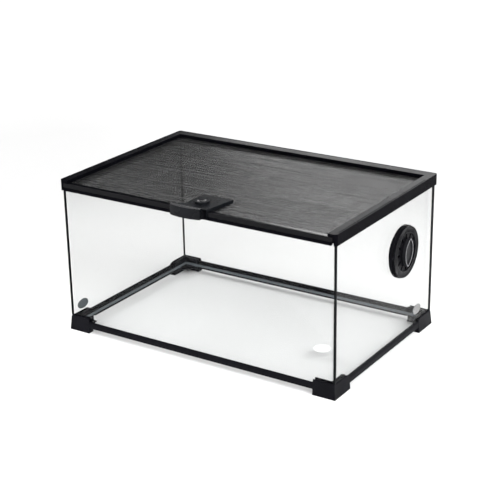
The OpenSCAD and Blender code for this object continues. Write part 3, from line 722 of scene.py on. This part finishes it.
class TERRARIUM_OT_badges(bpy.types.Operator):
    """Makes the two bare oval badges and the round label on the bottom pane"""

    bl_idname = "terrarium.badges"
    bl_label = "Badges and label"

    FACE_SINK = 0.25 * MM
    FACE_ROUND = 0.12 * MM
    PAD_INSET = 0.3 * MM
    PAD_ROUND = 0.05 * MM

    def execute(self, context):
        colours = context.scene.terrarium_colours
        sizes = context.scene.terrarium_sizes
        face = worn_metal("Badge metal", "badge", colours.badge_face, rough=0.3)
        pad = moulded_plastic("Badge pad", "badge_back", colours.badge_pad, rough=0.45, specular=0.4)
        for side, name in ((-1, "left"), (1, "right")):
            lo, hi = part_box("badge_" + name)
            glass_x, outer_x = (lo.x, hi.x) if side > 0 else (hi.x, lo.x)
            pad_x = glass_x + side * sizes.badge_pad
            centre = (lo + hi) / 2
            half = Vector((hi.y - lo.y, hi.z - lo.z)) / 2
            badge = self.oval("badge_" + name + "_face", centre, half, pad_x, outer_x)
            start_edit(badge)
            pick_faces(badge, lambda f: f.normal.x * side > 0.9)
            bpy.ops.mesh.inset(thickness=sizes.badge_rim)
            bpy.ops.transform.translate(value=(-side * self.FACE_SINK, 0, 0))
            end_edit()
            round_edges(badge, self.FACE_ROUND)
            finish_piece(badge, "tank", face, "badge_" + name)
            pad_half = half - Vector((self.PAD_INSET, self.PAD_INSET))
            backing = self.oval("badge_" + name + "_pad", centre, pad_half, glass_x, pad_x)
            round_edges(backing, self.PAD_ROUND, 1)
            finish_piece(backing, "tank", pad)
        label = plain_paper("Label paper", "label", colours.label)
        mould_nodes(["floor_label"], "tank", label, self.FACE_ROUND)
        return {"FINISHED"}

    def oval(self, name, centre, half, x0, x1):
        """Oval solid across the X axis, from x0 to x1."""
        clear_selection()
        bpy.ops.mesh.primitive_cylinder_add(
            vertices=64, radius=1, depth=abs(x1 - x0),
            location=((x0 + x1) / 2, centre.y, centre.z), rotation=(0, math.pi / 2, 0),
        )
        piece = bpy.context.object
        piece.name = name
        piece.scale = (half[1], half[0], 1)
        apply_place(piece)
        return piece


class TERRARIUM_OT_stage(bpy.types.Operator):
    """Sets the pale floor, the soft lights and the camera"""

    bl_idname = "terrarium.stage"
    bl_label = "Floor, lights and camera"

    def execute(self, context):
        self.lay_floor(context)
        self.light_world(context)
        for name, azimuth in SUN_AZIMUTHS.items():
            self.sun_light(name + " light", azimuth)
        panel = self.soft_light("Back panel", PANEL_PLACE, PANEL_TARGET, PANEL_SIZE, PANEL_POWER)
        self.hang_flag()
        self.raise_backdrop()
        self.limit_to_lid(panel)
        self.place_camera(context)
        context.scene.view_settings.view_transform = "Standard"
        return {"FINISHED"}

    def limit_to_lid(self, lamp):
        """Keeps a lamp's mirror image off the floor and the panes."""
        spared = bpy.data.collections.new("Spared by the panel")
        lamp.light_linking.receiver_collection = spared
        for name in ("floor", "glass_bottom_pane", *WALLS):
            spared.objects.link(bpy.data.objects[name])
        for link in spared.collection_objects:
            link.light_linking.link_state = "EXCLUDE"

    def raise_backdrop(self):
        """A white wall all round, far off, which only the camera sees."""
        clear_selection()
        bpy.ops.mesh.primitive_cylinder_add(
            vertices=64, radius=BACKDROP_RADIUS, depth=BACKDROP_HEIGHT,
            end_fill_type="NOTHING", location=(0, 0, BACKDROP_MIDDLE),
        )
        wall = bpy.context.object
        wall.name = "backdrop"
        apply_place(wall)
        material = new_material("Backdrop paper", "backdrop")
        fibres = remap(material, surface_noise(material, 2, 2), 0, 1)
        tones = blend_colours(material, fibres, (0.98, 0.98, 0.98, 1), (1, 1, 1, 1))
        shader = add_node(material, "ShaderNodeEmission", Color=tones, Strength=BACKDROP_STRENGTH)
        wall.data.materials.append(finish_material(material, shader))
        wall.visible_diffuse = False
        wall.visible_glossy = False
        wall.visible_shadow = False

    def hang_flag(self):
        """A leaning black cloth before the panel, which darkens the left of the lid."""
        clear_selection()
        turn = (math.pi / 2, math.radians(FLAG_LEAN), 0)
        bpy.ops.mesh.primitive_plane_add(size=FLAG_SIZE, location=FLAG_PLACE, rotation=turn)
        flag = bpy.context.object
        flag.name = "black_flag"
        apply_place(flag)
        material = new_material("Flag cloth", "flag")
        weave = remap(material, surface_noise(material, 300, 2), 0, 1)
        colours = blend_colours(material, weave, (0, 0, 0, 1), (0.004, 0.004, 0.004, 1))
        shader = add_node(material, "ShaderNodeBsdfDiffuse", Color=colours)
        flag.data.materials.append(finish_material(material, shader))
        flag.visible_camera = False
        flag.visible_diffuse = False

    def lay_floor(self, context):
        """The pale floor, its colour darker round the tank and light again farther off: painted shade."""
        clear_selection()
        bpy.ops.mesh.primitive_plane_add(size=FLOOR_SIZE, location=(0, 0, 0))
        floor = context.object
        floor.name = "floor"
        material = new_material("Floor", "floor")
        colour = context.scene.terrarium_colours.floor
        place = add_node(material, "ShaderNodeTexCoord")
        distance = material.node_tree.nodes.new("ShaderNodeVectorMath")
        distance.operation = "LENGTH"
        material.node_tree.links.new(place.outputs["Object"], distance.inputs[0])
        spread = remap(material, distance.outputs["Value"], 0, 1, *FLOOR_FADE)
        lift = remap(material, distance.outputs["Value"], 0, FLOOR_RETURN_SHARE, *FLOOR_RETURN)
        # Painted shade: how far the floor's colour is darkened at each distance
        shade = material.node_tree.nodes.new("ShaderNodeMath")
        shade.operation = "SUBTRACT"
        material.node_tree.links.new(spread, shade.inputs[0])
        material.node_tree.links.new(lift, shade.inputs[1])
        colours = blend_colours(material, shade.outputs[0], colour, shaded(colour, FLOOR_PAINTED_SHADE))
        floor.data.materials.append(principled(material, colours, 0.16, 0.15))

    def light_world(self, context):
        world = bpy.data.worlds.new("Studio")
        context.scene.world = world
        world.use_nodes = True
        background = world.node_tree.nodes["Background"]
        background.inputs["Color"].default_value = (1, 1, 1, 1)
        background.inputs["Strength"].default_value = WORLD_STRENGTH

    def sun_light(self, name, azimuth):
        """Soft, even light from far away."""
        light = bpy.data.lights.new(name, "SUN")
        light.angle = math.radians(SUN_SPREAD)
        light.energy = SUN_STRENGTH
        lamp = bpy.data.objects.new(name, light)
        bpy.context.scene.collection.objects.link(lamp)
        turn, rise = math.radians(azimuth), math.radians(SUN_ELEVATION)
        source = Vector((math.sin(turn) * math.cos(rise), -math.cos(turn) * math.cos(rise), math.sin(rise)))
        lamp.rotation_euler = source.to_track_quat("Z", "Y").to_euler()

    def soft_light(self, name, place, target, size, power):
        """A square lamp that faces its target and isn't seen itself."""
        light = bpy.data.lights.new(name, "AREA")
        light.shape = "SQUARE"
        light.size = size
        light.energy = power
        lamp = bpy.data.objects.new(name, light)
        bpy.context.scene.collection.objects.link(lamp)
        lamp.location = place
        lamp.rotation_euler = (Vector(target) - Vector(place)).to_track_quat("-Z", "Y").to_euler()
        lamp.visible_camera = False
        return lamp

    def place_camera(self, context):
        """Stands the camera off from the middle of the tank and turns it by its three angles."""
        azimuth, elevation, roll = (
            math.radians(angle) for angle in (CAMERA_AZIMUTH, CAMERA_ELEVATION, CAMERA_ROLL)
        )
        back = Vector((
            math.sin(azimuth) * math.cos(elevation),
            -math.cos(azimuth) * math.cos(elevation),
            math.sin(elevation),
        ))
        level = Vector((0, 0, 1)).cross(back).normalized()
        rise = back.cross(level)
        right = level * math.cos(roll) + rise * math.sin(roll)
        up = rise * math.cos(roll) - level * math.sin(roll)
        lens = bpy.data.cameras.new("Camera")
        lens.sensor_fit = "HORIZONTAL"
        lens.sensor_width = CAMERA_SENSOR
        lens.lens = CAMERA_LENS
        camera = bpy.data.objects.new("Camera", lens)
        context.scene.collection.objects.link(camera)
        turn = Matrix((right, up, back)).transposed().to_4x4()
        camera.matrix_world = Matrix.Translation(TANK_MIDDLE + CAMERA_FROM_TANK) @ turn
        context.scene.camera = camera


STEPS = [
    TERRARIUM_OT_glass, TERRARIUM_OT_base, TERRARIUM_OT_top_frame, TERRARIUM_OT_lid, TERRARIUM_OT_mesh,
    TERRARIUM_OT_latch, TERRARIUM_OT_lock, TERRARIUM_OT_vent, TERRARIUM_OT_badges, TERRARIUM_OT_stage,
]


class TERRARIUM_PT_sidebar(bpy.types.Panel):
    """Lists the settings and the steps"""

    bl_idname = "TERRARIUM_PT_sidebar"
    bl_label = "Reptile Terrarium"
    bl_space_type = "VIEW_3D"
    bl_region_type = "UI"
    bl_category = "Terrarium"

    def draw(self, context):
        for settings in (context.scene.terrarium_sizes, context.scene.terrarium_colours):
            box = self.layout.box()
            for name in settings.__annotations__:
                box.prop(settings, name)
        for step in STEPS:
            self.layout.operator(step.bl_idname)


CLASSES = [TerrariumSizes, TerrariumColours, *STEPS, TERRARIUM_PT_sidebar]


def register():
    for part in CLASSES:
        bpy.utils.register_class(part)
    bpy.types.Scene.terrarium_sizes = bpy.props.PointerProperty(type=TerrariumSizes)
    bpy.types.Scene.terrarium_colours = bpy.props.PointerProperty(type=TerrariumColours)


def unregister():
    del bpy.types.Scene.terrarium_colours
    del bpy.types.Scene.terrarium_sizes
    for part in reversed(CLASSES):
        bpy.utils.unregister_class(part)


def main():
    register()
    clear_selection()
    bpy.ops.terrarium.glass()
    bpy.ops.terrarium.base()
    bpy.ops.terrarium.top_frame()
    bpy.ops.terrarium.lid()
    bpy.ops.terrarium.mesh()
    bpy.ops.terrarium.latch()
    bpy.ops.terrarium.lock()
    bpy.ops.terrarium.vent()
    bpy.ops.terrarium.badges()
    bpy.ops.terrarium.stage()


if __name__ == "__main__":
    main()
